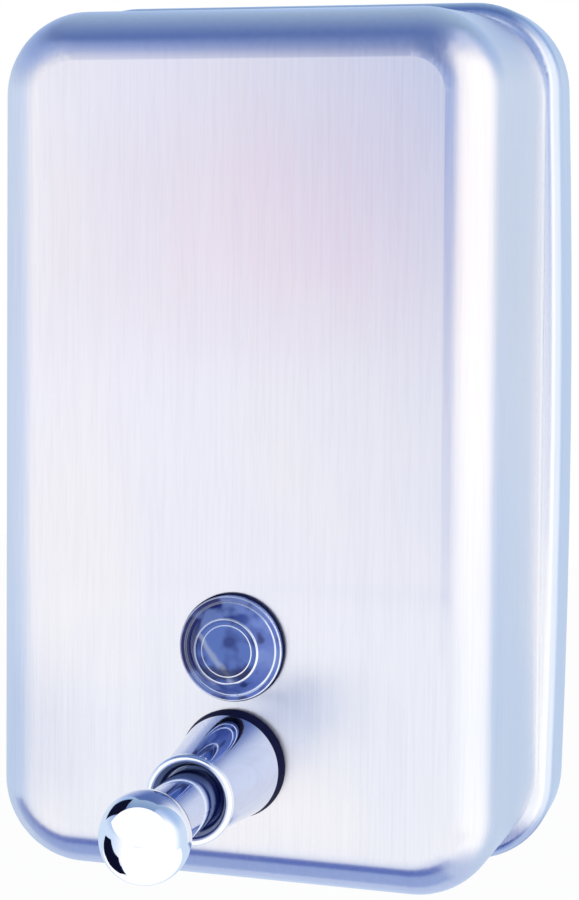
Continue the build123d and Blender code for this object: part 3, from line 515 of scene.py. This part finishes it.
def studio_world():
    world = bpy.data.worlds.new("studio")
    scene.world = world
    world.use_nodes = True
    web = Web(world.node_tree)
    side, depth, height = [web.place(axis, "Generated") for axis in "XYZ"]
    behind = web.steps(depth, -0.02, 0.50)
    front = 1 - behind
    wall = web.blend(web.steps(side, 0.20, 0.70), WALL_WHITE, rgb(1.22, 1.21, 1.19))
    wall = web.blend(web.steps(side, -0.50, -0.98), wall, rgb(0.68, 0.80, 0.98))
    gap = web.window(side, -0.33, -0.07, 0.04, 0.40) * front
    wall = web.blend(gap * (0.12 + 0.80 * web.steps(height, -0.10, 0.06)), wall, rgb(0.22, 0.44, 0.88))
    wall = web.blend(behind, wall, rgb(0.66, 0.78, 0.94))
    backward = web.steps(depth, -0.50, 0.80, smooth=False)
    ceiling = web.blend(backward, rgb(0.10, 0.18, 0.45), rgb(0.43, 0.58, 0.74))
    ceiling = web.blend(0.5 * web.steps(side, -0.40, -0.70), ceiling, rgb(0.05, 0.10, 0.36))
    raised = 0.42 * (web.steps(side, 0.12, 0.45) * front)
    lowered = web.window(side, -0.33, -0.20, -0.05, 0.12) * front
    lowered = 0.45 * (lowered * web.steps(height, 0.12, 0.32))
    rise = web.steps(height + 0.42 * gap + lowered - raised, 0.09, 0.74, smooth=False)
    room = web.blend(rise, wall, ceiling)
    room = web.blend(0.3 * web.window(rise, 0.1, 0.5, 0.8, 1.0), room, rgb(0.30, 0.50, 1.02))
    room = web.blend(web.steps(height, -0.60, -0.85), room, rgb(0.62, 0.70, 0.90))
    rays = "ShaderNodeLightPath"
    seen = web.add(rays, output="Is Camera Ray") + web.add(rays, output="Is Transmission Ray")
    mirrored = web.add(rays, output="Is Glossy Ray")
    soft = web.blend(mirrored, rgb(0.62, 0.65, 0.72), room)
    colour = web.blend(seen, soft, rgb(1.0, 1.0, 1.0))
    light = web.add("ShaderNodeBackground", {}, {"Color": colour, "Strength": 1.0})
    web.add("ShaderNodeOutputWorld", {}, {"Surface": light})
    print("world", world.name, "with", len(world.node_tree.nodes), "nodes")


studio_world()

# %% [markdown]
# ## Cards for the mirrors
#
# A photographer shapes chrome with cards just outside the picture. Ours are flat pieces that only mirror
# rays see. Two blue ones under the tank draw the dark band along its lower edge. They end on the right, so
# that the band fades before the corner. Every other ray passes through them.

# %% Mirror cards
def flat_piece(name, corners, finish):
    """A sheet of four-cornered panels that belongs to the studio."""
    mesh = bpy.data.meshes.new(name)
    panels = [range(start, start + 4) for start in range(0, len(corners), 4)]
    mesh.from_pydata(corners, [], [tuple(panel) for panel in panels])
    mesh.materials.append(finish)
    piece = bpy.data.objects.new(name, mesh)
    scene.collection.objects.link(piece)


def span(left, right, start, end):
    """Four corners of a panel that runs between two (y, z) lines."""
    return [(left, *start), (right, *start), (right, *end), (left, *end)]


def card_finish(name, colour, one_sided=0.0):
    """A glow that only mirror rays see, on both faces or on one."""
    finish, web = new_finish(name)
    glow = web.add("ShaderNodeEmission", {}, {"Color": colour, "Strength": 1.0})
    clear = web.add("ShaderNodeBsdfTransparent", {}, {"Color": rgb(1.0, 1.0, 1.0)})
    mirrored = web.add("ShaderNodeLightPath", output="Is Glossy Ray")
    facing = 1 - one_sided * web.add("ShaderNodeNewGeometry", output="Backfacing")
    mixed = web.add("ShaderNodeMixShader", {}, {0: mirrored * facing, 1: clear, 2: glow})
    web.add("ShaderNodeOutputMaterial", {}, {"Surface": mixed})
    return finish


white_card = card_finish("white_card", WALL_WHITE)
deep_card = card_finish("deep_card", rgb(0.13, 0.19, 0.52))
pale_card = card_finish("pale_card", rgb(0.37, 0.47, 0.75))
black_card = card_finish("black_card", rgb(0.004, 0.005, 0.022), one_sided=1.0)
UNDER_LEFT, UNDER_RIGHT, UNDER_Z = -0.4, 0.10, -0.24
UNDER_FRONT, UNDER_MIDDLE, UNDER_BACK = [(y, UNDER_Z) for y in (-0.185, -0.125, -0.030)]
flat_piece("deep_under_card", span(UNDER_LEFT, UNDER_RIGHT, UNDER_FRONT, UNDER_MIDDLE), deep_card)
flat_piece("pale_under_card", span(UNDER_LEFT, UNDER_RIGHT, UNDER_MIDDLE, UNDER_BACK), pale_card)
print("two wide cards that only mirrors see")

# %% [markdown]
# ## Cards for the knob
#
# The knob is a ball, and a ball mirrors the whole studio. To put a patch at a chosen spot of it, we turn
# the law of reflection round: the surface normal at that spot halves the angle between the lens and the
# card. So each corner is given by its spot on the knob's disc, with the radius as one, and by its reach
# from the middle. The white card over the knob points at the lens's image behind the panel, so the panel
# meets it edge on.

# %% The knob's disc
knob_low, knob_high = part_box("push_knob")
knob_radius = (knob_high.x - knob_low.x) / 2
knob = Vector((0.0, knob_low.y + knob_radius, (knob_high.z + knob_low.z) / 2))
to_lens = (lens_place - knob).normalized()
disc_right = Vector((0.0, 0.0, 1.0)).cross(to_lens).normalized()
disc_up = to_lens.cross(disc_right)
print("knob of", round(2000 * knob_radius, 1), "mm at", [round(1000 * v, 1) for v in knob], "mm")

# %% Knob cards
def mirror_spot(right, up, reach):
    """The place that shows at a spot of the knob's disc, as the lens sees it."""
    normal = right * disc_right + up * disc_up + sqrt(1 - right**2 - up**2) * to_lens
    return tuple(knob + reach * (2 * normal.dot(to_lens) * normal - to_lens))


LOW_PATCH = [(-0.80, 0.04, 0.063), (-0.70, -0.05, 0.138), (-0.62, -0.33, 0.150), (-0.80, -0.36, 0.042),
             (-0.80, -0.33, 0.041), (-0.62, -0.30, 0.080), (-0.53, -0.40, 0.072), (-0.37, -0.70, 0.038),
             (-0.80, -0.33, 0.041), (-0.37, -0.70, 0.038), (-0.50, -0.69, 0.034), (-0.70, -0.53, 0.035)]
HIGH_PATCH = [(-0.80, 0.34, 0.050), (-0.62, 0.62, 0.038), (-0.24, 0.72, 0.044), (-0.45, 0.44, 0.130)]
UNDER = [(0.090, -0.250), (0.090, -0.003), (-0.015, -0.003), (-0.165, -0.250),
         (0.090, -0.003), (0.090, 0.040), (-0.085, 0.024), (-0.015, -0.003)]
UNDER_DROP, OVER_LIFT = 0.034, 0.028
OVER_BACK, OVER_FRONT, OVER_WIDTH = -0.006, -0.420, 0.16
flat_piece("black_cards", [mirror_spot(*spot) for spot in LOW_PATCH + HIGH_PATCH], black_card)
image = Vector((lens_place.x, 2 * panel_y - lens_place.y, lens_place.z))
slope = (image.z - knob.z - OVER_LIFT) / (image.y - knob.y - OVER_BACK)
over = [(knob.y + y, knob.z + OVER_LIFT + slope * (y - OVER_BACK)) for y in (OVER_FRONT, OVER_BACK)]
flat_piece("over_knob_card", span(-OVER_WIDTH / 2, OVER_WIDTH / 2, *over), white_card)
flat_piece("under_knob_card", [(x, knob.y + y, knob.z - UNDER_DROP) for x, y in UNDER], white_card)
print("three cards round the knob")

# %% [markdown]
# ## Lamp and floor
#
# One broad soft lamp from the upper right shapes the rubber and the plastic. Mirrors skip it, because they
# have the room and the cards. A pale floor far below catches the soft shadow, as a wash stand would. The
# camera sees it almost white, so that it meets the white room.

# %% Lamp and floor
def soft_lamp(name, place, target, size, watts):
    lamp = bpy.data.lights.new(name, "AREA")
    lamp.size, lamp.energy = size, watts
    holder = bpy.data.objects.new(name, lamp)
    holder.location = place
    holder.rotation_euler = (Vector(target) - Vector(place)).to_track_quat("-Z", "Y").to_euler()
    holder.visible_glossy = False
    scene.collection.objects.link(holder)
    print(name, "at", place)


FLOOR_GLOW = 0.96


def pale_floor():
    finish, web = new_finish("pale_floor")
    mottle = web.noise((6.0, 6.0, 6.0), detail=2.0)
    colour = web.blend(mottle, rgb(0.80, 0.80, 0.81), rgb(0.84, 0.84, 0.85))
    matt = web.add("ShaderNodeBsdfDiffuse", {}, {"Color": colour})
    white = web.add("ShaderNodeEmission", {}, {"Color": rgb(1.0, 1.0, 1.0), "Strength": 1.0})
    rays = "ShaderNodeLightPath"
    seen = web.add(rays, output="Is Camera Ray") + web.add(rays, output="Is Transmission Ray")
    bright = web.add("ShaderNodeMixShader", {}, {0: FLOOR_GLOW * seen, 1: matt, 2: white})
    clear = web.add("ShaderNodeBsdfTransparent", {}, {"Color": rgb(1.0, 1.0, 1.0)})
    mirrored = web.add(rays, output="Is Glossy Ray")
    mixed = web.add("ShaderNodeMixShader", {}, {0: mirrored, 1: bright, 2: clear})
    web.add("ShaderNodeOutputMaterial", {}, {"Surface": mixed})
    return finish


LAMP_PLACE, LAMP_SIZE, LAMP_WATTS = (0.45, -0.80, 0.80), 0.8, 2.0
soft_lamp("front_lamp", LAMP_PLACE, (cad_low + cad_high) / 2, LAMP_SIZE, LAMP_WATTS)

FLOOR_DROP, FLOOR_SIZE = 0.45, 6.0
floor_z, reach = cad_low.z - FLOOR_DROP, FLOOR_SIZE / 2
flat_piece("floor", span(-reach, reach, (-reach, floor_z), (reach, floor_z)), pale_floor())
print("floor", round(1000 * FLOOR_DROP), "mm below the dispenser")

# %% [markdown]
# ## View
#
# The plain view transform keeps colours as they are written.

# %% Finish
scene.view_settings.view_transform = "Standard"
